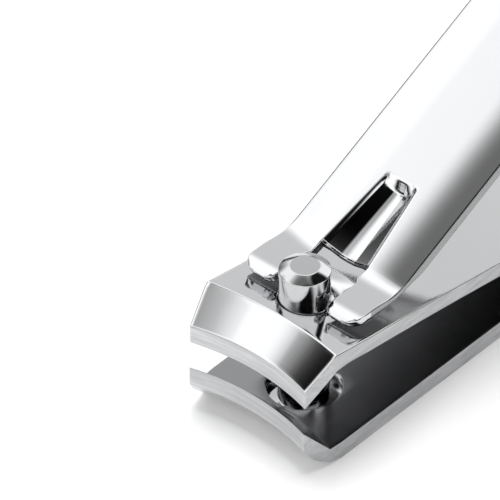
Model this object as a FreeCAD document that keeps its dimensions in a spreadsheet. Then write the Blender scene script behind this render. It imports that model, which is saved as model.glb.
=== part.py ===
import FreeCAD, Part
import math
import os
import Sketcher

# Nail clipper with a lever: two spring-steel jaws riveted at the rear, a pivot post through the head,
# and a forked lever hooked behind the post.  Millimetres, +Z up, +X from the cutting edges to the rear.
# Every body is drawn with the post axis at its own origin and placed so that the finished clipper
# stands centred on the document origin.

SIZES = {
    "post_x": -30.0,            # post axis, from the middle of the overall length
    "arm_width": 15.0,
    "arm_rear_x": 67.7,
    "taper_start_x": 24.0,
    "rear_width": 12.4,
    "rear_corner": 5.0,
    # cutting edges, ground as one concave face about an upright axis in front of the jaws
    "grind_radius": 23.5,
    "grind_centre_x": -30.24,
    "nose_tip_x": -7.7,
    "nose_tip_width": 13.3,
    "nose_heel_x": -4.6,
    "nose_sweep": 42.0,
    # lower jaw
    "low_thick": 1.8,
    "low_edge_z": 4.95,
    "low_band_z": 2.95,
    "low_floor_x": -3.9,
    "low_belly_x": -4.1,
    "low_belly_z": 0.55,
    "low_sole_x": -3.3,
    "low_back_x": -2.74,
    "low_arm_x": -3.8,
    "flange_seat_radius": 4.25,
    "flange_seat_depth": 0.8,
    "low_hole_radius": 3.4,
    # upper jaw
    "up_edge_z": 7.6,
    "up_band_z": 9.55,
    "up_setback": 0.17,
    "up_thick": 1.6,
    "up_post_z": 11.5,
    "up_slope": 9.3,
    "up_crease_x": -3.45,
    "up_heel_x": -3.3,
    "up_heel_z": 10.35,
    "up_back_x": -2.2,
    "up_arm_x": -3.2,
    "up_bend_x": 32.1,
    "up_bend_radius": 229.0,
    "up_flat_x": 60.0,
    "up_flat_z": 1.9,
    "up_hole_radius": 2.38,
    "up_hole_slot": 0.38,
    # pivot post
    "post_radius": 2.32,
    "post_top_z": 15.4,
    "post_bevel_z": 14.98,
    "post_top_radius": 1.31,
    "post_flange_radius": 4.17,
    "post_flange_thick": 0.7,
    "post_foot_gap": 0.05,
    "notch_depth_x": 0.95,
    "notch_low_z": 12.0,
    "notch_high_z": 13.25,
    # lever
    "lever_width": 13.12,
    "lever_thick": 0.9,
    "lever_edge": 1.5,
    "lever_rim": 1.0,
    "lever_angle": 24.83,
    "prong_top_z": 13.1,
    "prong_tip_x": -1.1,
    "prong_curl_x": 0.6,
    "prong_curl_drop": 0.55,
    "knee_x": 3.3,
    "knee_radius": 6.0,
    "lever_length": 55.0,
    "fork_width": 6.0,
    "prong_corner": 1.5,
    "window_front_x": 3.75,
    "window_rear_x": 5.25,
    "window_width": 5.2,
    "bar_x": 2.3,
    "bar_z": 12.64,
    "bar_radius": 0.5,
    "bar_length": 7.0,
    "groove_end_x": 13.0,
    "groove_mouth_width": 5.6,
    "groove_end_width": 3.2,
    "groove_depth": 0.9,
    "groove_skin": 0.45,
    "lever_end_corner": 5.5,
    # rear rivet
    "rivet_x": 61.7,
    "rivet_radius": 2.0,
    "rivet_bore_radius": 1.3,
    "rivet_head_radius": 2.9,
    "rivet_head_thick": 0.35,
    "rivet_head_gap": 0.12,
    "rivet_hole_radius": 2.12,
}

doc = FreeCAD.newDocument("nail_clipper")
spec = doc.addObject("Spreadsheet::Sheet", "Spec")
for row, (alias, value) in enumerate(SIZES.items(), start=1):
    spec.set("A%d" % row, alias)
    spec.set("B%d" % row, str(value))
    spec.setAlias("B%d" % row, alias)
doc.recompute()


def size(text):
    """Value of a sum in the sheet's own words, such as "arm_width / 2"."""
    probe.setExpression("Value", linked(text))
    probe.recompute()
    return probe.Value


def linked(text):
    """Prefix every alias with the sheet's name, so that a constraint can follow it."""
    words = []
    for word in text.split(" "):
        bare = word.strip("()")
        words.append(word.replace(bare, "Spec." + bare) if bare in SIZES else word)
    return " ".join(words)


probe = doc.addObject("App::FeaturePython", "Probe")
probe.addProperty("App::PropertyFloat", "Value")


def plane(body, role):
    """One of a body's own origin planes."""
    return next(item for item in body.Origin.OriginFeatures if item.Role == role)


def new_body(label):
    body = doc.addObject("PartDesign::Body", label)
    body.Label = label
    body.setExpression("Placement.Base.x", "Spec.post_x")
    return body


def new_sketch(body, role, name):
    sketch = body.newObject("Sketcher::SketchObject", name)
    sketch.AttachmentSupport = (plane(body, role), [""])
    sketch.MapMode = "FlatFace"
    return sketch


def outline(sketch, corners):
    """Closed outline.  Each corner is (x, y) in the sheet's words; a third entry is the radius of the
    arc that leads to the next corner, and a fourth says on which side of the chord it bulges."""
    points = [FreeCAD.Vector(size(c[0]), size(c[1]), 0) for c in corners]
    first = sketch.GeometryCount
    for i, corner in enumerate(corners):
        start = points[i]
        end = points[(i + 1) % len(points)]
        if len(corner) == 2:
            sketch.addGeometry(Part.LineSegment(start, end), False)
            continue
        radius = size(corner[2])
        chord = end - start
        half = chord.Length / 2
        side = FreeCAD.Vector(-chord.y, chord.x, 0).normalize() * corner[3]
        sagitta = radius - math.sqrt(radius ** 2 - half ** 2)
        middle = (start + end) * 0.5 + side * sagitta
        if corner[3] > 0:
            start, end = end, start
        sketch.addGeometry(Part.Arc(start, middle, end), False)
    ends = [start_end(sketch, first + i, point) for i, point in enumerate(points)]
    for i, corner in enumerate(corners):
        here = first + i
        following = (i + 1) % len(corners)
        sketch.addConstraint(Sketcher.Constraint("Coincident", here, 3 - ends[i],
                                                 first + following, ends[following]))
        pin(sketch, "DistanceX", here, ends[i], corner[0])
        pin(sketch, "DistanceY", here, ends[i], corner[1])
        if len(corner) > 2:
            index = sketch.addConstraint(Sketcher.Constraint("Radius", here, size(corner[2])))
            sketch.setExpression("Constraints[%d]" % index, linked(corner[2]))


def start_end(sketch, index, point):
    """1 or 2, the end of a curve that lies on a point."""
    curve = sketch.Geometry[index]
    return 1 if (curve.StartPoint - point).Length < (curve.EndPoint - point).Length else 2


def pin(sketch, kind, index, at, words):
    """Hold one coordinate of a point at a size in the sheet."""
    number = sketch.addConstraint(Sketcher.Constraint(kind, -1, 1, index, at, size(words)))
    sketch.setExpression("Constraints[%d]" % number, linked(words))


def circle(sketch, x, y, radius):
    index = sketch.addGeometry(Part.Circle(FreeCAD.Vector(size(x), size(y), 0),
                                           FreeCAD.Vector(0, 0, 1), size(radius)), False)
    pin(sketch, "DistanceX", index, 3, x)
    pin(sketch, "DistanceY", index, 3, y)
    number = sketch.addConstraint(Sketcher.Constraint("Radius", index, size(radius)))
    sketch.setExpression("Constraints[%d]" % number, linked(radius))


def feature(body, kind, name, sketch, **settings):
    """Add a sketch-based feature; a length given in words follows the sheet."""
    item = body.newObject("PartDesign::" + kind, name)
    item.Profile = sketch
    for key, value in settings.items():
        if key in ("Length", "Angle") and isinstance(value, str):
            setattr(item, key, size(value))
            item.setExpression(key, linked(value))
        else:
            setattr(item, key, value)
    doc.recompute()
    return item


def pad_across(body, name, sketch, width):
    return feature(body, "Pad", name, sketch, Length=width, Midplane=True)


def cut_through(body, name, sketch):
    before = body.Shape.Volume
    item = feature(body, "Pocket", name, sketch, Type=1, Midplane=True)
    assert item.Shape.Volume < before - 0.01, name + " cuts nothing"
    return item


def turned(body, name, sketch, angle, middle=False):
    """Revolution about the upright construction line that the sketch carries."""
    return feature(body, "Revolution", name, sketch, ReferenceAxis=(sketch, ["Axis0"]),
                   Angle=angle, Midplane=middle)


def upright_axis(sketch, x):
    index = sketch.addGeometry(Part.LineSegment(FreeCAD.Vector(size(x), 0, 0),
                                                FreeCAD.Vector(size(x), 10, 0)), True)
    sketch.addConstraint(Sketcher.Constraint("Vertical", index))
    pin(sketch, "DistanceX", index, 1, x)
    pin(sketch, "DistanceY", index, 1, "arm_width * 0")
    number = sketch.addConstraint(Sketcher.Constraint("Distance", index, 10.0))
    sketch.setDatum(number, 10.0)


def surround(sketch):
    """Rectangle well outside the clipper, so that a pocket keeps only what lies inside an outline."""
    outline(sketch, [("0 - arm_width", "0 - arm_width"), ("arm_rear_x + arm_width", "0 - arm_width"),
                     ("arm_rear_x + arm_width", "arm_width"), ("0 - arm_width", "arm_width")])


def jaw_outline(body):
    """Plan view shared by the two jaws: narrowed nose, parallel arm, tapered tail with rounded corners."""
    sketch = new_sketch(body, "XY_Plane", body.Label + "_plan")
    surround(sketch)
    tail = "rear_width / 2"
    outline(sketch, [
        ("nose_tip_x", "0 - nose_tip_width / 2"),
        ("nose_heel_x", "0 - arm_width / 2"),
        ("taper_start_x", "0 - arm_width / 2"),
        ("arm_rear_x - rear_corner", "0 - " + tail, "rear_corner", -1),
        ("arm_rear_x", "rear_corner - " + tail),
        ("arm_rear_x", tail + " - rear_corner", "rear_corner", -1),
        ("arm_rear_x - rear_corner", tail),
        ("taper_start_x", "arm_width / 2"),
        ("nose_heel_x", "arm_width / 2"),
        ("nose_tip_x", "nose_tip_width / 2"),
    ])
    return cut_through(body, body.Label + "_plan_cut", sketch)


# ---------------------------------------------------------------- lower jaw
lower = new_body("lower_jaw")
arm = new_sketch(lower, "XZ_Plane", "lower_arm_side")
zero = "arm_width * 0"
outline(arm, [("low_arm_x", zero), ("arm_rear_x", zero), ("arm_rear_x", "low_thick"), ("low_arm_x", "low_thick")])
pad_across(lower, "lower_arm", arm, "arm_width")
nose = new_sketch(lower, "XZ_Plane", "lower_nose_side")
edge = "grind_centre_x + grind_radius"
upright_axis(nose, "grind_centre_x")
outline(nose, [
    (edge, "low_edge_z"), (edge, "low_band_z"), ("low_belly_x", "low_belly_z", "low_thick", -1),
    ("low_sole_x", zero), ("low_back_x", zero), ("low_back_x", "low_thick"), ("low_floor_x", "low_thick"),
])
turned(lower, "lower_nose", nose, "nose_sweep", True)
jaw_outline(lower)
hole = new_sketch(lower, "XY_Plane", "lower_holes")
circle(hole, zero, zero, "low_hole_radius")
circle(hole, "rivet_x", zero, "rivet_radius + 0.02")
cut_through(lower, "lower_holes_cut", hole)
seat = new_sketch(lower, "XY_Plane", "flange_seat")
circle(seat, zero, zero, "flange_seat_radius")
feature(lower, "Pocket", "flange_seat_cut", seat, Type=0, Length="flange_seat_depth", Reversed=True)
rear_seat = new_sketch(lower, "XY_Plane", "rivet_seat")
circle(rear_seat, "rivet_x", zero, "rivet_head_radius + 0.05")
feature(lower, "Pocket", "rivet_seat_cut", rear_seat, Type=0, Length="rivet_head_thick + 0.1", Reversed=True)

# ---------------------------------------------------------------- upper jaw
upper = new_body("upper_jaw")


def up_top(x):
    """Height of the upper arm's straight top face at a station along it."""
    return "up_post_z - ( " + x + " ) * tan( up_slope )"


arm = new_sketch(upper, "XZ_Plane", "upper_arm_side")
outline(arm, [
    ("up_arm_x", up_top("up_arm_x") + " - up_thick"),
    ("up_bend_x", up_top("up_bend_x") + " - up_thick", "up_bend_radius", -1),
    ("up_flat_x", "up_flat_z"),
    ("arm_rear_x", "up_flat_z"),
    ("arm_rear_x", "up_flat_z + up_thick"),
    ("up_flat_x", "up_flat_z + up_thick", "up_bend_radius - up_thick", 1),
    ("up_bend_x", up_top("up_bend_x")),
    ("up_arm_x", up_top("up_arm_x")),
])
pad_across(upper, "upper_arm", arm, "arm_width")
nose = new_sketch(upper, "XZ_Plane", "upper_nose_side")
upright_axis(nose, "grind_centre_x + up_setback")
edge = "grind_centre_x + grind_radius + up_setback"
slope = "( " + up_top("up_crease_x") + " - up_band_z ) / ( up_crease_x - ( " + edge + " ) )"
outline(nose, [
    (edge, "up_edge_z"), ("up_heel_x", "up_heel_z"), ("up_back_x", "up_heel_z"),
    ("up_back_x", "up_band_z + ( up_back_x - ( " + edge + " ) ) * " + slope),
    (edge, "up_band_z"),
])
turned(upper, "upper_nose", nose, "nose_sweep", True)
crown = new_sketch(upper, "XZ_Plane", "upper_face")
outline(crown, [
    ("nose_tip_x - 2", up_top("nose_tip_x - 2")), ("up_bend_x", up_top("up_bend_x")),
    ("up_bend_x", "post_top_z"), ("nose_tip_x - 2", "post_top_z"),
])
cut_through(upper, "upper_face_cut", crown)
jaw_outline(upper)
hole = new_sketch(upper, "XY_Plane", "upper_post_hole")
outline(hole, [
    (zero, "0 - up_hole_radius"), ("up_hole_slot", "0 - up_hole_radius", "up_hole_radius", -1),
    ("up_hole_slot + up_hole_radius", zero, "up_hole_radius", -1), ("up_hole_slot", "up_hole_radius"),
    (zero, "up_hole_radius", "up_hole_radius", -1), ("0 - up_hole_radius", zero, "up_hole_radius", -1),
])
circle(hole, "rivet_x", zero, "rivet_hole_radius")
cut_through(upper, "upper_holes_cut", hole)

# ---------------------------------------------------------------- pivot post
post = new_body("pivot_post")
shaft = new_sketch(post, "XZ_Plane", "post_side")
upright_axis(shaft, zero)
outline(shaft, [
    (zero, "post_foot_gap"), ("post_flange_radius", "post_foot_gap"),
    ("post_flange_radius", "post_foot_gap + post_flange_thick"),
    ("post_radius", "post_foot_gap + post_flange_thick"),
    ("post_radius", "post_bevel_z"), ("post_top_radius", "post_top_z"), (zero, "post_top_z"),
])
turned(post, "post_turned", shaft, 360.0)
notch = new_sketch(post, "XZ_Plane", "post_notch")
outline(notch, [
    ("notch_depth_x", "notch_low_z"), ("post_radius + 1", "notch_low_z"),
    ("post_radius + 1", "notch_high_z"), ("notch_depth_x", "notch_high_z"),
])
cut_through(post, "post_notch_cut", notch)

# ---------------------------------------------------------------- lever
lever = new_body("lever")
knee_end_x = "knee_x + knee_radius * sin( lever_angle )"
knee_end_z = "prong_top_z + knee_radius * ( 1 - cos( lever_angle ) )"


def on_lever(along, below):
    """Point on the straight handle: distance past the knee and depth below the top face."""
    x = knee_end_x + " + ( " + along + " ) * cos( lever_angle ) + ( " + below + " ) * sin( lever_angle )"
    z = knee_end_z + " + ( " + along + " ) * sin( lever_angle ) - ( " + below + " ) * cos( lever_angle )"
    return x, z


side = new_sketch(lever, "XZ_Plane", "lever_side")
outline(side, [
    ("prong_tip_x", "prong_top_z - lever_thick"),
    ("knee_x", "prong_top_z - lever_thick", "knee_radius + lever_thick", -1),
    on_lever("knee_x * 0", "lever_thick"),
    on_lever("lever_length", "lever_thick"),
    on_lever("lever_length", "knee_x * 0"),
    on_lever("knee_x * 0", "knee_x * 0") + ("knee_radius", 1),
    ("knee_x", "prong_top_z"),
    ("prong_curl_x", "prong_top_z"),
    ("prong_tip_x", "prong_top_z - prong_curl_drop"),
])
pad_across(lever, "lever_sheet", side, "lever_width")
for name, sign in (("left", 1), ("right", -1)):
    rim = new_sketch(lever, "XZ_Plane", "lever_rim_" + name)
    rim.AttachmentOffset = FreeCAD.Placement(FreeCAD.Vector(0, 0, 0), FreeCAD.Rotation())
    rim.setExpression("AttachmentOffset.Base.z", linked("( lever_width - lever_rim ) / 2 * %d" % sign))
    outline(rim, [
        on_lever("lever_rim", "lever_thick - 0.1"), on_lever("lever_rim * 2", "lever_edge"),
        on_lever("lever_length", "lever_edge"), on_lever("lever_length", "lever_thick - 0.1"),
    ])
    pad_across(lever, "lever_rim_pad_" + name, rim, "lever_rim")


def tilted_sketch(name, below):
    """Sketch parallel to the handle's top face, with its origin where the knee ends."""
    sketch = new_sketch(lever, "XY_Plane", name)
    turn = FreeCAD.Rotation(FreeCAD.Vector(0, -1, 0), 1.0)
    sketch.AttachmentOffset = FreeCAD.Placement(FreeCAD.Vector(0, 0, 0), turn)
    x, z = on_lever("knee_x * 0", below)
    sketch.setExpression("AttachmentOffset.Base.x", linked(x))
    sketch.setExpression("AttachmentOffset.Base.z", linked(z))
    sketch.setExpression("AttachmentOffset.Rotation.Angle", "Spec.lever_angle")
    return sketch


def groove_outline(sketch, margin, overrun):
    """Tapered channel pressed into the handle, widest at the window."""
    start = "( window_rear_x - ( " + knee_end_x + " ) ) / cos( lever_angle ) - " + overrun
    end = "( groove_end_x - ( " + knee_end_x + " ) ) / cos( lever_angle ) + " + margin
    mouth = "groove_mouth_width / 2 + " + margin
    close = "groove_end_width / 2 + " + margin
    outline(sketch, [
        (start, "0 - ( " + mouth + " )"), (end, "0 - ( " + close + " )"), (end, close), (start, mouth),
    ])


under = tilted_sketch("groove_under", "lever_thick - 0.1")
groove_outline(under, "0.4", "0.0")
feature(lever, "Pad", "groove_under_pad", under, Reversed=True,
        Length="groove_depth + groove_skin - lever_thick + 0.1")
plan = new_sketch(lever, "XY_Plane", "lever_plan")
surround(plan)
half = "lever_width / 2"
end_x = knee_end_x + " + lever_length * cos( lever_angle ) - lever_thick * 0.1"
fork = "fork_width / 2"
gap = "window_width / 2"
corner = "prong_corner"
outline(plan, [
    ("prong_tip_x", corner + " - " + half, corner, -1), ("prong_tip_x + " + corner, "0 - " + half),
    (end_x + " - lever_end_corner", "0 - " + half, "lever_end_corner", -1),
    (end_x, "lever_end_corner - " + half),
    (end_x, half + " - lever_end_corner", "lever_end_corner", -1),
    (end_x + " - lever_end_corner", half),
    ("prong_tip_x + " + corner, half, corner, -1), ("prong_tip_x", half + " - " + corner),
    ("prong_tip_x", fork + " + 0.8", "prong_corner - 0.7", -1), ("prong_tip_x + 0.8", fork),
    ("knee_x", fork), ("window_front_x", gap), ("window_rear_x", gap),
    ("window_rear_x", "0 - " + gap), ("window_front_x", "0 - " + gap), ("knee_x", "0 - " + fork),
    ("prong_tip_x + 0.8", "0 - " + fork, "prong_corner - 0.7", -1), ("prong_tip_x", "0 - ( " + fork + " + 0.8 )"),
])
cut_through(lever, "lever_plan_cut", plan)
channel = tilted_sketch("groove", "knee_x * 0")
groove_outline(channel, "0.0", "1.0")
feature(lever, "Pocket", "groove_cut", channel, Type=0, Length="groove_depth")
bar = new_sketch(lever, "XZ_Plane", "crossbar_side")
outline(bar, [
    ("bar_x", "bar_z - bar_radius"), ("window_rear_x - 0.8", "bar_z - bar_radius / 2"),
    ("window_rear_x - 0.8", "bar_z + bar_radius / 2"), ("bar_x", "bar_z + bar_radius", "bar_radius", -1),
    ("bar_x - bar_radius", "bar_z", "bar_radius", -1),
])
pad_across(lever, "crossbar", bar, "bar_length")

# ---------------------------------------------------------------- rear rivet
rivet = new_body("rear_rivet")
tube = new_sketch(rivet, "XZ_Plane", "rivet_side")
upright_axis(tube, "rivet_x")
seat_z = "up_flat_z + up_thick + rivet_head_gap"
outline(tube, [
    ("rivet_x + rivet_bore_radius", "post_foot_gap"), ("rivet_x + rivet_head_radius", "post_foot_gap"),
    ("rivet_x + rivet_head_radius", "post_foot_gap + rivet_head_thick"),
    ("rivet_x + rivet_radius", "post_foot_gap + rivet_head_thick"),
    ("rivet_x + rivet_radius", seat_z), ("rivet_x + rivet_head_radius", seat_z),
    ("rivet_x + rivet_head_radius", seat_z + " + rivet_head_thick"),
    ("rivet_x + rivet_bore_radius", seat_z + " + rivet_head_thick"),
])
turned(rivet, "rivet_turned", tube, 360.0)

doc.recompute()
for item in doc.Objects:
    assert "Invalid" not in item.State and "Error" not in item.State, item.Name
os.makedirs("parts", exist_ok=True)
for body in (lower, upper, post, lever, rivet):
    shape = body.Shape
    assert not shape.isNull() and shape.isValid() and len(shape.Solids) == 1, body.Label
    shape.exportStep("parts/" + body.Label + ".step")
    box = shape.BoundBox
    print("%-12s volume %8.1f  x %7.2f %7.2f  y %6.2f %6.2f  z %6.2f %6.2f" % (
        body.Label, shape.Volume, box.XMin, box.XMax, box.YMin, box.YMax, box.ZMin, box.ZMax))
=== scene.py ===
import bpy
import bmesh
from math import asin, atan, cos, pi, radians, sin, sqrt, tan
from mathutils import Matrix, Vector


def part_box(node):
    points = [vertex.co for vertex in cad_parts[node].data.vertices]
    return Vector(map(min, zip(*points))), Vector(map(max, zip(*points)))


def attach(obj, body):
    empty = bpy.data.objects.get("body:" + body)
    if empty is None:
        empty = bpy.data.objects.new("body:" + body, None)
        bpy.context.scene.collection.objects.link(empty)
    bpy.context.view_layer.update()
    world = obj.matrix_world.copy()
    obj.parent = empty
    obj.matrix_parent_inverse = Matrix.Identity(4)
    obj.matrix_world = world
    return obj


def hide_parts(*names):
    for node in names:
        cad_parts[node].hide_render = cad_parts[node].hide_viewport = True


# Nail clipper: two spring-steel jaws, a pivot post, a forked lever and a rear rivet.
# Pieces are shaped in millimetres with the post axis at x = 0 and the lower jaw's sole at z = 0,
# then brought to metres in the clipper's own frame when they are finished.

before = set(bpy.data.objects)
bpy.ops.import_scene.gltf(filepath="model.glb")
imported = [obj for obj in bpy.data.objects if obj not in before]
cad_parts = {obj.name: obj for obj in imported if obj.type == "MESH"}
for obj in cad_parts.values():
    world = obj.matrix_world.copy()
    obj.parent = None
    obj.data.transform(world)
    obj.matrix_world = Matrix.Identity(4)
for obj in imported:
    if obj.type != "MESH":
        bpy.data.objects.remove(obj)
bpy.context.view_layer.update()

MM = 0.001
post_low, post_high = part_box("pivot_post")
POST_X = (post_low.x + post_high.x) / 2 / MM
rivet_low, rivet_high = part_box("rear_rivet")
RIVET_X = (rivet_low.x + rivet_high.x) / 2 / MM - POST_X
JAW_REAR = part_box("lower_jaw")[1].x / MM - POST_X
HALF_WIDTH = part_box("lower_jaw")[1].y / MM
LEVER_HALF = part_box("lever")[1].y / MM
POST_TOP = post_high.z / MM

GRIND_X = -30.24        # axis about which both cutting faces were ground
EDGE_RADIUS = 23.5
TAPER_X = 24.0
TAIL_HALF = 6.2
TAIL_CORNER = 5.0
# polished skin, brushed side, ground cutting face, unbuffed inside whose dark tone is painted shade
# between the parts
SKIN, SIDE, CUT, SHADED_INSIDE = 0, 1, 2, 3


# ------------------------------------------------------------------ mesh tools
def between(table, s):
    """Linear interpolation in a table of (s, value) rows."""
    if s <= table[0][0]:
        return table[0][1]
    for (s0, v0), (s1, v1) in zip(table, table[1:]):
        if s <= s1:
            return v0 + (v1 - v0) * (s - s0) / (s1 - s0)
    return table[-1][1]


def ease(t):
    t = min(max(t, 0.0), 1.0)
    return t * t * (3 - 2 * t)


def spread(low, high, count):
    return [low + (high - low) * i / count for i in range(count)]


def blank(lines, rows):
    """Flat sheet whose grid lines lie at the given lengths and rows."""
    sheet = bmesh.new()
    bmesh.ops.create_grid(sheet, x_segments=len(lines) - 1, y_segments=len(rows) - 1, size=1)
    for v in sheet.verts:
        i = round((v.co.x + 1) / 2 * (len(lines) - 1))
        j = round((v.co.y + 1) / 2 * (len(rows) - 1))
        v.co = Vector((lines[i], rows[j], 0))
    return sheet


def punch(sheet, x, half, radius, squeeze=1.0, stretch=0.0, points=72):
    """Round hole in the flat sheet: the grid cells around it are opened and joined to a circle.
    squeeze allows for rows that will be drawn in or out when the sheet is shaped."""
    inside = [f for f in sheet.faces
              if abs(f.calc_center_median().x - x) < half and abs(f.calc_center_median().y) < half]
    bmesh.ops.delete(sheet, geom=inside, context="FACES")
    rim = [e for e in sheet.edges if e.is_boundary
           and all(abs(v.co.x - x) < half + 0.01 and abs(v.co.y) < half + 0.01 for v in e.verts)]
    ring = bmesh.ops.create_circle(sheet, segments=points, radius=radius,
                                   matrix=Matrix.Translation((x, 0, 0)))["verts"]
    for v in ring:
        v.co.y *= squeeze
        if v.co.x > x:
            v.co.x += stretch
    loop = list({e for v in ring for e in v.link_edges})
    bmesh.ops.bridge_loops(sheet, edges=rim + loop)


def thicken(sheet, top, bottom):
    """Give the sheet its body.  top and bottom place a point of the flat sheet on the two faces.
    The walls that join the faces are returned."""
    upper = {v: v.co.copy() for v in sheet.verts}
    grown = bmesh.ops.extrude_face_region(sheet, geom=sheet.faces[:], use_keep_orig=True)["geom"]
    lower = {v: v.co.copy() for v in grown if isinstance(v, bmesh.types.BMVert)}
    for v, at in upper.items():
        v.co = top(at.x, at.y)
    for v, at in lower.items():
        v.co = bottom(at.x, at.y)
    bmesh.ops.recalc_face_normals(sheet, faces=sheet.faces[:])
    # faces of the lower side take the inside slot, whose dark finish is painted shade
    for face in sheet.faces:
        if all(v in lower for v in face.verts):
            face.material_index = SHADED_INSIDE
    return [f for f in sheet.faces if 0 < sum(v in lower for v in f.verts) < len(f.verts)]


def counterbore(body, x, hole, seat, depth):
    """Step in the wall of a hole: as wide as the seat below the given height, as the hole above it."""
    def reach(v):
        return sqrt((v.co.x - x) ** 2 + v.co.y ** 2)

    uprights = [e for e in body.edges if abs(e.verts[0].co.z - e.verts[1].co.z) > 0.5
                and abs(min(map(reach, e.verts)) - hole) < 0.02
                and max(map(reach, e.verts)) < seat + 0.02]
    made = bmesh.ops.subdivide_edges(body, edges=uprights, cuts=2)["geom_inner"]
    for v in (item for item in made if isinstance(item, bmesh.types.BMVert)):
        wide = seat if reach(v) > (hole + seat) / 2 else hole
        v.co.x, v.co.y = Vector((x, 0)) + (v.co.xy - Vector((x, 0))) * wide / reach(v)
        v.co.z = depth


def soften(body, width, angle=28, segments=2, where=None, clamp=False):
    """Round every edge sharper than the angle."""
    edges = [e for e in body.edges if len(e.link_faces) == 2 and e.calc_face_angle(0) > radians(angle)
             and (where is None or where(e))]
    bmesh.ops.bevel(body, geom=edges, offset=width, offset_type="OFFSET", segments=segments,
                    profile=0.5, affect="EDGES", material=-1, clamp_overlap=clamp)


def turned(profile, x, points=96, ring=False):
    """Solid of revolution about an upright axis from (radius, height) pairs."""
    body = bmesh.new()
    line = [body.verts.new((x + r, 0, z)) for r, z in profile]
    edges = [body.edges.new(pair) for pair in zip(line, line[1:])]
    if ring:
        edges.append(body.edges.new((line[-1], line[0])))
    bmesh.ops.spin(body, geom=line + edges, cent=(x, 0, 0), axis=(0, 0, 1), angle=2 * pi,
                   steps=points, use_merge=True)
    bmesh.ops.remove_doubles(body, verts=body.verts[:], dist=1e-5)
    bmesh.ops.recalc_face_normals(body, faces=body.faces[:])
    return body


def make(body, name, finishes, rides, node=None):
    """Bring a shaped piece to metres, dress it and hang it on its CAD body."""
    bmesh.ops.transform(body, matrix=Matrix.Scale(MM, 4) @ Matrix.Translation((POST_X, 0, 0)),
                        verts=body.verts[:])
    mesh = bpy.data.meshes.new(name)
    body.to_mesh(mesh)
    body.free()
    mesh.shade_smooth()
    piece = bpy.data.objects.new(name, mesh)
    bpy.context.scene.collection.objects.link(piece)
    for finish in finishes:
        mesh.materials.append(finish)
    even = piece.modifiers.new("even_shading", "WEIGHTED_NORMAL")
    even.weight = 80
    even.keep_sharp = True
    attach(piece, rides)
    if node:
        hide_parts(node)
    return piece


# ------------------------------------------------------------------ finishes
def new_group(name, inputs, outputs):
    group = bpy.data.node_groups.new(name, "ShaderNodeTree")
    for socket, value in inputs:
        made = group.interface.new_socket(socket, in_out="INPUT", socket_type="NodeSocketFloat")
        made.default_value = value
    for socket in outputs:
        group.interface.new_socket(socket, in_out="OUTPUT", socket_type="NodeSocketFloat")
    return group, group.nodes.new("NodeGroupInput"), group.nodes.new("NodeGroupOutput")


def node(tree, kind, inputs=(), **settings):
    made = tree.nodes.new("ShaderNode" + kind)
    for key, value in settings.items():
        setattr(made, key, value)
    for key, value in dict(inputs).items():
        if isinstance(value, bpy.types.NodeSocket):
            tree.links.new(value, made.inputs[key])
        else:
            made.inputs[key].default_value = value
    return made


def maths(tree, operation, a, b=0.0, c=0.0, clamp=False):
    return node(tree, "Math", {0: a, 1: b, 2: c}, operation=operation, use_clamp=clamp).outputs[0]


def object_place(tree, scale):
    """Object coordinates stretched by a scale, so that noise becomes grain."""
    coords = node(tree, "TexCoord")
    return node(tree, "Mapping", {0: coords.outputs["Object"], "Scale": scale}).outputs[0]


def polishing_marks():
    """Hair-fine scratches left by buffing, running mostly along the clipper."""
    tree, given, result = new_group("polishing_marks", [("Depth", 1.0)], ["Height", "Haze"])
    long_way = object_place(tree, (300, 9000, 9000))
    hair = node(tree, "TexNoise", {"Vector": long_way, "Scale": 1.0, "Detail": 3.0, "Roughness": 0.7})
    cloud = node(tree, "TexNoise", {"Vector": object_place(tree, (180, 260, 260)), "Scale": 1.0,
                                    "Detail": 4.0, "Roughness": 0.55})
    fine = maths(tree, "SUBTRACT", hair.outputs[0], 0.5)
    tree.links.new(maths(tree, "MULTIPLY", fine, given.outputs["Depth"]), result.inputs["Height"])
    tree.links.new(maths(tree, "MULTIPLY", cloud.outputs[0], given.outputs["Depth"], clamp=True),
                   result.inputs["Haze"])
    return tree


def grinding_grain():
    """Close parallel lines from a belt: drawn along the given scale of each axis."""
    tree, given, result = new_group("grinding_grain", [("Across", 1.0), ("Up", 1.0)],
                                    ["Height", "Shade"])
    coords = node(tree, "TexCoord")
    apart = node(tree, "SeparateXYZ", {0: coords.outputs["Object"]})
    squeezed = node(tree, "CombineXYZ", {
        0: maths(tree, "MULTIPLY", apart.outputs[0], 900.0),
        1: maths(tree, "MULTIPLY", apart.outputs[1], given.outputs["Across"]),
        2: maths(tree, "MULTIPLY", apart.outputs[2], given.outputs["Up"])})
    lines = node(tree, "TexNoise", {"Vector": squeezed.outputs[0], "Scale": 1.0, "Detail": 5.0,
                                    "Roughness": 0.65})
    broad = node(tree, "TexNoise", {"Vector": squeezed.outputs[0], "Scale": 0.22, "Detail": 2.0,
                                    "Roughness": 0.5})
    both = maths(tree, "ADD", maths(tree, "MULTIPLY", lines.outputs[0], 0.6),
                 maths(tree, "MULTIPLY", broad.outputs[0], 0.4))
    tree.links.new(maths(tree, "SUBTRACT", both, 0.5), result.inputs["Height"])
    tree.links.new(both, result.inputs["Shade"])
    return tree


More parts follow.
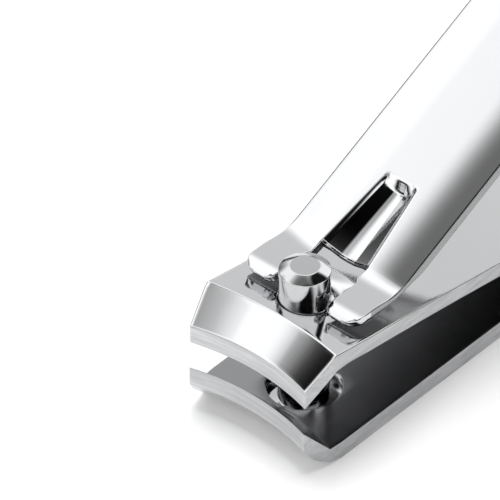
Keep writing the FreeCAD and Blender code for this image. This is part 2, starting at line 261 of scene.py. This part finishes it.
def handling():
    """Faint finger haze and a little dust on faces that look up."""
    tree, given, result = new_group("handling", [("Haze", 1.0), ("Dust", 1.0)], ["Rough", "Tone"])
    place = object_place(tree, (140, 140, 140))
    smear = node(tree, "TexNoise", {"Vector": place, "Scale": 1.0, "Detail": 5.0, "Roughness": 0.6,
                                    "Distortion": 0.8})
    patch = maths(tree, "SMOOTH_MIN", maths(tree, "MULTIPLY", maths(
        tree, "SUBTRACT", smear.outputs[0], 0.5, clamp=True), 3.0), 1.0, 0.1)
    speck = node(tree, "TexNoise", {"Vector": object_place(tree, (9000, 9000, 9000)), "Scale": 1.0,
                                    "Detail": 1.0})
    grain = maths(tree, "GREATER_THAN", speck.outputs[0], 0.72)
    up = node(tree, "SeparateXYZ", {0: node(tree, "NewGeometry").outputs["Normal"]}).outputs[2]
    settled = maths(tree, "MULTIPLY", maths(tree, "MULTIPLY", grain, maths(tree, "MAXIMUM", up, 0.0)),
                    given.outputs["Dust"])
    rough = maths(tree, "ADD", maths(tree, "MULTIPLY", patch, given.outputs["Haze"]), settled)
    tree.links.new(rough, result.inputs["Rough"])
    tree.links.new(maths(tree, "SUBTRACT", 1.0, maths(tree, "MULTIPLY", rough, 0.5)),
                   result.inputs["Tone"])
    return tree


def edge_wear():
    """Burnished line where corners have been rubbed: brighter and smoother at convex edges."""
    tree, given, result = new_group("edge_wear", [("Amount", 1.0)], ["Worn"])
    sharp = node(tree, "NewGeometry").outputs["Pointiness"]
    corner = maths(tree, "MULTIPLY", maths(tree, "SUBTRACT", sharp, 0.52, clamp=True), 12.0, clamp=True)
    broken = node(tree, "TexNoise", {"Vector": object_place(tree, (900, 900, 900)), "Scale": 1.0,
                                     "Detail": 3.0})
    tree.links.new(maths(tree, "MULTIPLY", maths(tree, "MULTIPLY", corner, broken.outputs[0]),
                         given.outputs["Amount"]), result.inputs["Worn"])
    return tree


GROUPS = {made.name: made for made in (polishing_marks(), grinding_grain(), handling(), edge_wear())}


def placed(tree, group, **values):
    made = tree.nodes.new("ShaderNodeGroup")
    made.node_tree = GROUPS[group]
    for key, value in values.items():
        made.inputs[key].default_value = value
    return made


def steel(name, tone, rough, marks=1.0, grain=None, bump=0.05, haze=0.02, dust=0.02, wear=0.5):
    """Stainless steel: tone is the reflected colour, rough the least roughness."""
    finish = bpy.data.materials.new(name)
    finish.use_nodes = True
    tree = finish.node_tree
    skin = tree.nodes["Principled BSDF"]
    skin.inputs["Metallic"].default_value = 1.0
    hand = placed(tree, "handling", Haze=haze, Dust=dust)
    worn = placed(tree, "edge_wear", Amount=wear)
    buffed = placed(tree, "polishing_marks", Depth=marks)
    height, shade = buffed.outputs["Height"], buffed.outputs["Haze"]
    if grain:
        belt = placed(tree, "grinding_grain", Across=grain[0], Up=grain[1])
        height, shade = belt.outputs["Height"], belt.outputs["Shade"]
    depth = maths(tree, "MULTIPLY", maths(tree, "SUBTRACT", shade, 0.5), 1.5 if grain else 0.03)
    value = maths(tree, "MULTIPLY", maths(tree, "ADD", 1.0, depth), hand.outputs["Tone"])
    value = maths(tree, "ADD", value, maths(tree, "MULTIPLY", worn.outputs["Worn"], 0.15))
    colour = node(tree, "Mix", {0: value}, data_type="RGBA", clamp_factor=False)
    colour.inputs[6].default_value = (0, 0, 0, 1)
    colour.inputs[7].default_value = tone
    tree.links.new(colour.outputs[2], skin.inputs["Base Color"])
    spread_out = maths(tree, "MULTIPLY", shade, rough * 0.6)
    total = maths(tree, "ADD", maths(tree, "ADD", spread_out, rough * 0.7), hand.outputs["Rough"])
    total = maths(tree, "SUBTRACT", total, maths(tree, "MULTIPLY", worn.outputs["Worn"], rough * 0.3),
                  clamp=True)
    tree.links.new(total, skin.inputs["Roughness"])
    relief = node(tree, "Bump", {"Height": height, "Strength": bump, "Distance": 0.00004})
    tree.links.new(relief.outputs[0], skin.inputs["Normal"])
    return finish


WHITE_STEEL = (0.62, 0.624, 0.632, 1)
jaw_skin = steel("jaw_polish", WHITE_STEEL, 0.04)
# inside faces between the jaws: rougher unbuffed steel, with its dark tone painted shade from the other
# jaw
jaw_inside_painted_shade = steel("jaw_inside_painted_shade", (0.31, 0.312, 0.318, 1), 0.16, marks=2.0, haze=0.08)
jaw_cut = steel("jaw_ground_edge", (0.50, 0.503, 0.51, 1), 0.30, grain=(260, 9000), bump=0.6, haze=0.04)
jaw_side = steel("jaw_side", (0.44, 0.443, 0.45, 1), 0.24, grain=(9000, 9000), bump=0.4, haze=0.04)
lever_skin = steel("lever_polish", WHITE_STEEL, 0.05)
lever_side = steel("lever_side", (0.30, 0.302, 0.306, 1), 0.2, haze=0.04)
# underside and inner walls of the lever: rougher steel, with its near-black tone painted shade under
# the lever
lever_under = steel("lever_underside_painted_shade", (0.17, 0.171, 0.174, 1), 0.24, marks=2.0, haze=0.08)
post_skin = steel("post_polish", (0.52, 0.523, 0.53, 1), 0.035, marks=1.4)
rivet_skin = steel("rivet_brushed", (0.52, 0.524, 0.53, 1), 0.22, grain=(3000, 3000), bump=0.3)


# ------------------------------------------------------------------ jaws
LOW_THICK, LOW_EDGE, LOW_FLOOR_X = 1.8, 4.95, -3.9
BELLY = [(-6.74, 2.95), (-6.45, 2.45), (-6.1, 1.93), (-5.72, 1.47), (-5.3, 1.09), (-4.84, 0.79),
         (-4.3, 0.55), (-3.9, 0.34), (-3.55, 0.12), (-3.2, 0.0)]
UP_EDGE, UP_BAND, UP_THICK, UP_POST_Z, UP_SLOPE = 7.6, 9.55, 1.6, 11.5, tan(radians(9.3))
UP_AXIS = GRIND_X + 0.17
UP_BEND_X, UP_FLAT_X, UP_FLAT_Z = 32.1, 60.0, 1.9
CREASE_X, HEEL_X, HEEL_Z = -3.45, -3.3, 10.35
ARM_RELIEF = 0.08       # underside cleared in front of the rivet, where the arms close on each other
UP_ARCH = 0.0009        # the sprung arm bows up a little
FIRST_GUESS_X = -5.0    # from which a nose point's station is worked out
NOSE_SHARES = [0, 0.1, 0.2, 0.32, 0.45, 0.58, 0.72, 0.86]


def plan_half(x):
    """Half width of a jaw at a station: narrow nose, parallel arm, tapered tail with round corners."""
    half = between([(-7.7, 6.65), (-4.6, HALF_WIDTH), (TAPER_X, HALF_WIDTH),
                    (JAW_REAR - TAIL_CORNER, TAIL_HALF), (JAW_REAR, TAIL_HALF)], x)
    past = x - (JAW_REAR - TAIL_CORNER)
    if past > 0:
        half -= TAIL_CORNER - sqrt(max(TAIL_CORNER ** 2 - past ** 2, 0))
    return half


def radial(x, y, axis):
    """Station that a point would have if it were swung to the middle about the grinding axis."""
    return axis + sqrt((x - axis) ** 2 + y ** 2)


def shape_jaw(start, settle, axis, nose_end, hole, stretch, square, rivet_hole, top, bottom, seats=()):
    """A jaw from a flat sheet.  Stations below start lie on the ground nose, whose lines are arcs about
    the grinding axis; they straighten out by settle.  nose_end gives the station where the nose meets
    the arm in a row.  top and bottom give heights, and seats are counterbores in the sole."""
    first = axis + EDGE_RADIUS
    lines = [start - 1 + share for share in NOSE_SHARES] + [start]
    if settle - start > 0.4:
        lines.append((start + settle) / 2)
    lines += spread(-square, square, 8) + [square] + spread(square + 2, 56, 24)
    lines += [RIVET_X - square] + spread(RIVET_X - square, RIVET_X + square, 8)[1:]
    lines += [JAW_REAR - TAIL_CORNER + TAIL_CORNER * sin(radians(a)) for a in range(0, 91, 15)]
    lines.append(RIVET_X + square)
    lines = sorted(lines)
    lines = [line for line, after in zip(lines, lines[1:] + [1e9]) if after - line > 0.04
             or abs(line - RIVET_X - square) < 1e-6]
    rows = [square + (HALF_WIDTH - square) * share for share in (0.25, 0.5, 0.75, 0.9, 1.0)]
    rows = [-row for row in reversed(rows)] + spread(-square, square, 12) + [square] + rows
    body = blank(lines, rows)
    punch(body, 0, square, hole, stretch=stretch)
    punch(body, RIVET_X, square, rivet_hole, squeeze=HALF_WIDTH / plan_half(RIVET_X))

    def place(s, row, warped):
        x = s
        if s < start + 1e-6:
            share = s - (start - 1)
            x = FIRST_GUESS_X
            for _ in range(4):
                y = row / HALF_WIDTH * plan_half(x)
                reach = first + share * (nose_end(y) - first)
                x = axis + sqrt((reach - axis) ** 2 - y ** 2)
        elif s < settle:
            y = row
            near = axis + sqrt((nose_end(y) - axis) ** 2 - y ** 2)
            x = near + (settle - near) * (s - start) / (settle - start)
            y = row / HALF_WIDTH * plan_half(x)
        else:
            y = row / HALF_WIDTH * plan_half(x)
            if abs(x - RIVET_X) < rivet_hole * 1.2:
                y = row / HALF_WIDTH * plan_half(RIVET_X)
        if warped:
            for centre, narrow, seat, _, outer in seats:
                away = Vector((x - centre, y))
                if narrow * 0.99 < away.length < outer:
                    wide = seat + (away.length - narrow) * (outer - seat) / (outer - narrow)
                    x, y = Vector((centre, 0)) + away * wide / away.length
        return x, y

    def on_top(s, row):
        x, y = place(s, row, False)
        return Vector((x, y, top(x, y)))

    def on_bottom(s, row):
        x, y = place(s, row, True)
        return Vector((x, y, bottom(x, y)))

    for wall in thicken(body, on_top, on_bottom):
        middle = wall.calc_center_median()
        if middle.x < -4.5 and wall.normal.x < -0.7:
            wall.material_index = CUT
        elif abs(middle.y) > 0.9 * plan_half(middle.x) or middle.x > JAW_REAR - 0.2:
            wall.material_index = SIDE
    for centre, narrow, seat, depth, _ in seats:
        counterbore(body, centre, narrow, seat, depth)
    bmesh.ops.recalc_face_normals(body, faces=body.faces[:])
    if seats:       # only the lower jaw has seats, and its inside is the upper face
        for face in body.faces:
            if face.material_index == SHADED_INSIDE:
                face.material_index = SKIN
            elif face.material_index == SKIN and face.normal.z > 0.3:
                face.material_index = SHADED_INSIDE
    return body


def low_top(x, y):
    """Inside slope of the nose, from the cutting edge down to the flat floor."""
    return between([(GRIND_X + EDGE_RADIUS, LOW_EDGE), (LOW_FLOOR_X, LOW_THICK)], radial(x, y, GRIND_X))


def low_bottom(x, y):
    return between(BELLY, radial(x, y, GRIND_X)) if x < 0 else 0.0


def up_top(x):
    return UP_POST_Z - x * UP_SLOPE


NOSE_RISE = (up_top(CREASE_X) - UP_BAND) / (CREASE_X - UP_AXIS - EDGE_RADIUS)


def crease(y):
    """Where the nose cone meets the arm's flat top, swung to the middle."""
    reach = CREASE_X
    for _ in range(8):
        x = UP_AXIS + sqrt((reach - UP_AXIS) ** 2 - y ** 2)
        reach = UP_AXIS + EDGE_RADIUS + (up_top(x) - UP_BAND) / NOSE_RISE
    return reach


def up_face(x, y):
    """Upper jaw's outside: concave nose, straight slope, long bend into the flat tail."""
    if x < 0:
        cone = UP_BAND + (radial(x, y, UP_AXIS) - UP_AXIS - EDGE_RADIUS) * NOSE_RISE
        return min(cone, up_top(x))
    if x < UP_BEND_X:
        return up_top(x) + UP_ARCH * x * (UP_BEND_X - x)
    run = UP_FLAT_X - UP_BEND_X
    t = min((x - UP_BEND_X) / run, 1.0)
    return (UP_FLAT_Z + UP_THICK) + (1 - t) ** 2 * (
        (up_top(UP_BEND_X) - UP_FLAT_Z - UP_THICK) * (1 + 2 * t) - UP_SLOPE * run * t)


def up_under(x, y):
    """Underside: inside slope from the cutting edge to the heel, then parallel to the outside."""
    if x < 0:
        slope = between([(UP_AXIS + EDGE_RADIUS, UP_EDGE), (HEEL_X, HEEL_Z)], radial(x, y, UP_AXIS))
        return min(slope, up_top(x) - UP_THICK) if x > HEEL_X - 0.4 else slope
    return up_face(x, y) - UP_THICK + ARM_RELIEF * ease((x - 44) / 8)


JAW_FINISHES = [jaw_skin, jaw_side, jaw_cut, jaw_inside_painted_shade]
LOW_HOLE, LOW_RIVET_HOLE, LOW_SQUARE, LOW_SETTLE = 3.4, 2.02, 3.6, -3.6
POST_SEAT, POST_SEAT_DEPTH, RIVET_SEAT, RIVET_SEAT_DEPTH = 4.25, 0.8, 2.95, 0.45
SOLE_ROUND, SOLE_TOP, LOW_ROUND = 0.32, 0.5, 0.1


def on_sole_rim(v):
    return v.co.z < 0.02 and abs(v.co.y) > 1.0 and abs(v.co.y) > 0.97 * plan_half(v.co.x)


lower = shape_jaw(LOW_FLOOR_X, LOW_SETTLE, GRIND_X, lambda y: LOW_FLOOR_X, LOW_HOLE, 0.0, LOW_SQUARE,
                  LOW_RIVET_HOLE, low_top, low_bottom,
                  seats=[(0.0, LOW_HOLE, POST_SEAT, POST_SEAT_DEPTH, 6.4),
                         (RIVET_X, LOW_RIVET_HOLE, RIVET_SEAT, RIVET_SEAT_DEPTH, 4.4)])
soften(lower, SOLE_ROUND, segments=3, clamp=True, where=lambda e: all(map(on_sole_rim, e.verts)))
soften(lower, LOW_ROUND, segments=3, where=lambda e: all(v.co.z > SOLE_TOP for v in e.verts))
make(lower, "lower_jaw_body", JAW_FINISHES, "lower_frame", "lower_jaw")

UP_HOLE, UP_HOLE_STRETCH, UP_SQUARE, UP_RIVET_HOLE, UP_ROUND = 2.38, 0.38, 3.0, 2.12, 0.12
upper = shape_jaw(CREASE_X, -UP_SQUARE, UP_AXIS, crease, UP_HOLE, UP_HOLE_STRETCH, UP_SQUARE,
                  UP_RIVET_HOLE, up_face, up_under)
soften(upper, UP_ROUND, segments=3)
make(upper, "upper_jaw_body", JAW_FINISHES, "upper_arm", "upper_jaw")

# ------------------------------------------------------------------ pivot post
NOTCH_X, NOTCH_LOW, NOTCH_HIGH = 0.95, 12.0, 13.25
STEM, FLANGE, FOOT, FLANGE_TOP, CHAMFER_Z, CROWN = 2.32, 4.17, 0.05, 0.75, 14.98, 1.31
post = turned([(0, FOOT), (FLANGE, FOOT), (FLANGE, FLANGE_TOP), (STEM, FLANGE_TOP), (STEM, NOTCH_LOW),
               (STEM, NOTCH_LOW + 0.01), (STEM, NOTCH_HIGH - 0.01), (STEM, NOTCH_HIGH),
               (STEM, CHAMFER_Z), (CROWN, POST_TOP), (0, POST_TOP)], 0.0, 128)
soften(post, 0.07, 15, 3, where=lambda e: all(v.co.z > 14 or v.co.z < 2 for v in e.verts))
for v in post.verts:
    if NOTCH_LOW + 0.005 < v.co.z < NOTCH_HIGH - 0.005:
        v.co.x = min(v.co.x, NOTCH_X)
make(post, "pivot_post_body", [post_skin], "post", "pivot_post")

# ------------------------------------------------------------------ lever
PRONG_TIP, PRONG_CURL, CURL_DROP, PRONG_TOP = -1.1, 0.6, 0.4, 13.1
KNEE_X, KNEE_RADIUS, LEVER_TILT = 3.3, 6.0, radians(24.83)
KNEE_END = KNEE_X + KNEE_RADIUS * sin(LEVER_TILT)
KNEE_TOP = PRONG_TOP + KNEE_RADIUS * (1 - cos(LEVER_TILT))
LEVER_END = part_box("lever")[1].x / MM - POST_X - 0.05
PRONG_CORNER, END_CORNER, FORK_HALF, FORK_CORNER = 1.5, 5.5, 3.0, 0.8
WINDOW_REAR, GROOVE_END, GROOVE_RAMP = 5.25, 13.0, 0.9
GROOVE = [(0, 0.92), (0.3, 0.86), (0.86, 0.3), (1, 0)]     # depth over the share of the half width
INNER = [(-0.3, FORK_HALF), (KNEE_X, FORK_HALF), (3.75, 2.65), (WINDOW_REAR, 2.68), (GROOVE_END, 1.7)]
SHEET, RIM, TIP_THINNED, GROOVE_SKIN = 0.9, 1.45, 0.1, 0.43
ROLL_DEPTH, ROLL_FROM, ROLL_POWER = 0.5, 2.6, 2.2       # how the sides fall away from the flat middle
INNER_ROW = 0.4


def rounded(size, corner, past):
    """A half width drawn in by a round corner; past is how far into the corner the station lies."""
    return size - (corner - sqrt(max(corner ** 2 - past ** 2, 0))) if past > 0 else size


def lever_half(x):
    half = rounded(LEVER_HALF, PRONG_CORNER, PRONG_TIP + PRONG_CORNER - x)
    return rounded(half, END_CORNER, x - (LEVER_END - END_CORNER))


def inner_half(x):
    if x < PRONG_TIP + FORK_CORNER:
        return 2 * FORK_HALF - rounded(FORK_HALF, FORK_CORNER, PRONG_TIP + FORK_CORNER - x)
    return between(INNER, x)


def lever_line(x):
    """Height and slope of the lever's top face down its middle."""
    if x < PRONG_CURL:
        back = (PRONG_CURL - x) / (PRONG_CURL - PRONG_TIP)
        return PRONG_TOP - CURL_DROP * back ** 2, atan(2 * CURL_DROP * back / (PRONG_CURL - PRONG_TIP))
    if x < KNEE_X:
        return PRONG_TOP, 0.0
    if x < KNEE_END:
        turn = asin((x - KNEE_X) / KNEE_RADIUS)
        return PRONG_TOP + KNEE_RADIUS * (1 - cos(turn)), turn
    return KNEE_TOP + (x - KNEE_END) * tan(LEVER_TILT), LEVER_TILT


def on_lever(x, row, below):
    """Point of the lever.  Rows up to INNER_ROW span fork, window and groove; the rest the sides."""
    side = -1 if row < 0 else 1
    row = abs(row)
    inside, outside = inner_half(x), lever_half(x)
    dip = 0.0
    if row <= INNER_ROW:
        y = row / INNER_ROW * inside
        if x > WINDOW_REAR - 1e-6:
            dip = between(GROOVE, row / INNER_ROW) * min(1.0, max(0.0, GROOVE_END - x) / GROOVE_RAMP)
    else:
        y = inside + (row - INNER_ROW) / (1 - INNER_ROW) * (outside - inside)
    z, turn = lever_line(x)
    roll = ROLL_DEPTH * ease((x - 1.5) / 5) * (
        max(0.0, y - ROLL_FROM) / (LEVER_HALF - ROLL_FROM)) ** ROLL_POWER
    deep = dip + roll
    if below:
        sheet = SHEET - TIP_THINNED * ease(PRONG_CURL - x)
        rim = (RIM - SHEET) * ease((x - 5) / 3) * ease((y - 5.3) / 0.7)
        deep = max(sheet, dip + GROOVE_SKIN) + rim
    return Vector((x + deep * sin(turn), side * y, z - deep * cos(turn)))


lever_lines = [PRONG_TIP + PRONG_CORNER * (1 - cos(radians(a))) for a in (0, 25, 38, 50, 62, 76, 90)]
lever_lines += [0.7, 1.2, 1.8, 2.4, 3.0, KNEE_X, 3.52, 3.75, 4.1, 4.5, 4.9, WINDOW_REAR, 5.3, 5.55,
                KNEE_END]
lever_lines += [6.1, 6.5] + spread(7.0, 12.0, 8) + [12.1, 12.35, 12.6, 12.8, GROOVE_END, 13.2, 13.5]
lever_lines += spread(14.5, LEVER_END - END_CORNER, 30)
lever_lines += [LEVER_END - END_CORNER + END_CORNER * sin(radians(a)) for a in range(0, 82, 9)]
lever_lines.append(LEVER_END)
lever_lines = sorted(set(lever_lines))
lever_rows = [INNER_ROW * share for share in (0, 0.14, 0.27, 0.3, 0.33, 0.5, 0.68, 0.83, 0.86, 0.89, 1)]
lever_rows += [0.43, 0.48, 0.54, 0.62, 0.7, 0.78, 0.85, 0.9, 0.94, 0.97, 1.0]
lever_rows = [-row for row in reversed(lever_rows[1:])] + lever_rows
lever = blank(lever_lines, lever_rows)
opening = [f for f in lever.faces if f.calc_center_median().x < WINDOW_REAR
           and abs(f.calc_center_median().y) < INNER_ROW]
bmesh.ops.delete(lever, geom=opening, context="FACES")
for wall in thicken(lever, lambda x, row: on_lever(x, row, False),
                    lambda x, row: on_lever(x, row, True)):
    middle = wall.calc_center_median()
    if middle.x > 1.2:
        # inner walls, those of the window among them, take the underside finish, whose near-black tone
        # is painted shade
        wall.material_index = SIDE if abs(middle.y) > 4.0 else SHADED_INSIDE
soften(lever, 0.11, segments=3,
       where=lambda e: not all(f.material_index == SHADED_INSIDE for f in e.link_faces))
make(lever, "lever_body", [lever_skin, lever_side, lever_side, lever_under], "lever_arm",
     "lever")

# Crossbar pressed down between the prongs, hooked in the post's notch.
BAR_X, BAR_LONG, BAR_LOW, BAR_TOP, BAR_ARCH, BAR_HALF = 2.6, 1.3, 12.13, 13.0, 0.5, 2.9
bar = bmesh.new()
bmesh.ops.create_circle(bar, segments=40, radius=1.0, cap_ends=True,
                        matrix=Matrix.Translation((0, -1, 0)) @ Matrix.Rotation(pi / 2, 4, "X"))
grown = bar.faces[:]
for step in range(20):
    grown = bmesh.ops.extrude_face_region(bar, geom=grown, use_keep_orig=step == 0)["geom"]
    bmesh.ops.translate(bar, verts=[v for v in grown if isinstance(v, bmesh.types.BMVert)],
                        vec=(0, 0.1, 0))
    grown = [f for f in grown if isinstance(f, bmesh.types.BMFace)]
for v in bar.verts:
    top = BAR_TOP - BAR_ARCH * v.co.y ** 2
    rise = 0.5 + 0.5 * v.co.z
    v.co = Vector((BAR_X + v.co.x * BAR_LONG, v.co.y * BAR_HALF, BAR_LOW + rise * (top - BAR_LOW)))
bmesh.ops.recalc_face_normals(bar, faces=bar.faces[:])
make(bar, "lever_crossbar", [lever_skin], "lever_arm")

# ------------------------------------------------------------------ rear rivet
RIVET_TOP = rivet_high.z / MM
BORE, SHANK, HEAD, HEAD_THICK = 1.3, 2.0, 2.9, 0.35
rivet = turned([(BORE, FOOT), (HEAD, FOOT), (HEAD, FOOT + HEAD_THICK), (SHANK, FOOT + HEAD_THICK),
                (SHANK, RIVET_TOP - HEAD_THICK), (HEAD, RIVET_TOP - HEAD_THICK), (HEAD, RIVET_TOP),
                (BORE, RIVET_TOP)], RIVET_X, 96, ring=True)


def rivet_outside(v):
    return not 1.5 <= sqrt((v.co.x - RIVET_X) ** 2 + v.co.y ** 2) <= 2.5


soften(rivet, 0.12, segments=3, where=lambda e: all(map(rivet_outside, e.verts)))
make(rivet, "rear_rivet_body", [rivet_skin], "lower_frame", "rear_rivet")

# ------------------------------------------------------------------ studio
floor_paint = bpy.data.materials.new("white_sweep")
floor_paint.use_nodes = True
floor_shader = floor_paint.node_tree.nodes["Principled BSDF"]
floor_shader.inputs["Base Color"].default_value = (0.93, 0.93, 0.93, 1)
floor_shader.inputs["Roughness"].default_value = 0.9
floor_shader.inputs["Specular IOR Level"].default_value = 0.0
sweep = bmesh.new()
bmesh.ops.create_grid(sweep, x_segments=4, y_segments=4, size=4.0)
bmesh.ops.translate(sweep, verts=sweep.verts[:], vec=(0, 0, -0.00002))
sweep_mesh = bpy.data.meshes.new("floor")
sweep.to_mesh(sweep_mesh)
sweep.free()
sweep_mesh.materials.append(floor_paint)
floor = bpy.data.objects.new("floor", sweep_mesh)
bpy.context.scene.collection.objects.link(floor)

# A white room with soft grey and black flags: (azimuth, elevation, inner angle, outer angle, darkness)
FLAGS = [
    (112, 31, 5, 20.5, 0.99),
    (180, 82, 6, 33, 0.86),
    (170, 52, 4, 18, 0.62),
    (248, 56, 17, 32, 0.995),
    (325, 58, 15, 25, 0.99),
    (324, 24, 12, 26, 0.99),
    (38, 34, 10, 26, 0.45),
    (84, 10, 5, 26, 0.95),
]
ROOM_LIGHT = 1.62
world = bpy.data.worlds.new("studio")
bpy.context.scene.world = world
world.use_nodes = True
air = world.node_tree
air.nodes["Background"].inputs["Color"].default_value = (1, 1, 1, 1)
towards = node(air, "TexCoord").outputs["Generated"]
light = 1.0
for azimuth, elevation, inner, outer, darkness in FLAGS:
    a, e = radians(azimuth), radians(elevation)
    aim = node(air, "VectorMath", {0: towards, 1: (cos(a) * cos(e), sin(a) * cos(e), sin(e))},
               operation="DOT_PRODUCT").outputs["Value"]
    flag = node(air, "MapRange", {"Value": aim, "From Min": cos(radians(outer)),
                                  "From Max": cos(radians(inner)), "To Min": 1.0,
                                  "To Max": 1.0 - darkness}, interpolation_type="SMOOTHSTEP")
    light = maths(air, "MULTIPLY", light, flag.outputs["Result"])
height = node(air, "SeparateXYZ", {0: towards}).outputs[2]
skirt = node(air, "MapRange", {"Value": height, "From Min": 0.03, "From Max": 0.30, "To Min": 0.01,
                               "To Max": 1.0}, interpolation_type="SMOOTHSTEP").outputs["Result"]
light = maths(air, "MULTIPLY", light, skirt)
seen = node(air, "LightPath").outputs["Is Camera Ray"]
light = maths(air, "MAXIMUM", light, seen)
air.links.new(maths(air, "MULTIPLY", light, ROOM_LIGHT), air.nodes["Background"].inputs["Strength"])

lamp = bpy.data.lights.new("softbox", "AREA")
lamp.shape = "DISK"
lamp.size = 0.5
lamp.energy = 4.0
softbox = bpy.data.objects.new("softbox", lamp)
softbox.location = (0.05, 0.05, 0.8)
softbox.rotation_euler = (Vector((0, 0, 0)) - softbox.location).to_track_quat("-Z", "Y").to_euler()
softbox.visible_glossy = False
bpy.context.scene.collection.objects.link(softbox)

VIEW_AZ, VIEW_EL, VIEW_DISTANCE = radians(-48.279), radians(39.884), 0.5105
target = Vector(((POST_X - 7.14) * MM, 0, 21.61 * MM))
back = Vector((sin(VIEW_AZ) * cos(VIEW_EL), -cos(VIEW_AZ) * cos(VIEW_EL), sin(VIEW_EL)))
eye = bpy.data.cameras.new("camera")
eye.lens = 432.0
eye.sensor_width = 36.0
eye.clip_start = 0.01
camera = bpy.data.objects.new("camera", eye)
camera.location = target + back * VIEW_DISTANCE
camera.rotation_euler = (-back).to_track_quat("-Z", "Y").to_euler()
bpy.context.scene.collection.objects.link(camera)
bpy.context.scene.camera = camera
bpy.context.scene.view_settings.view_transform = "Standard"
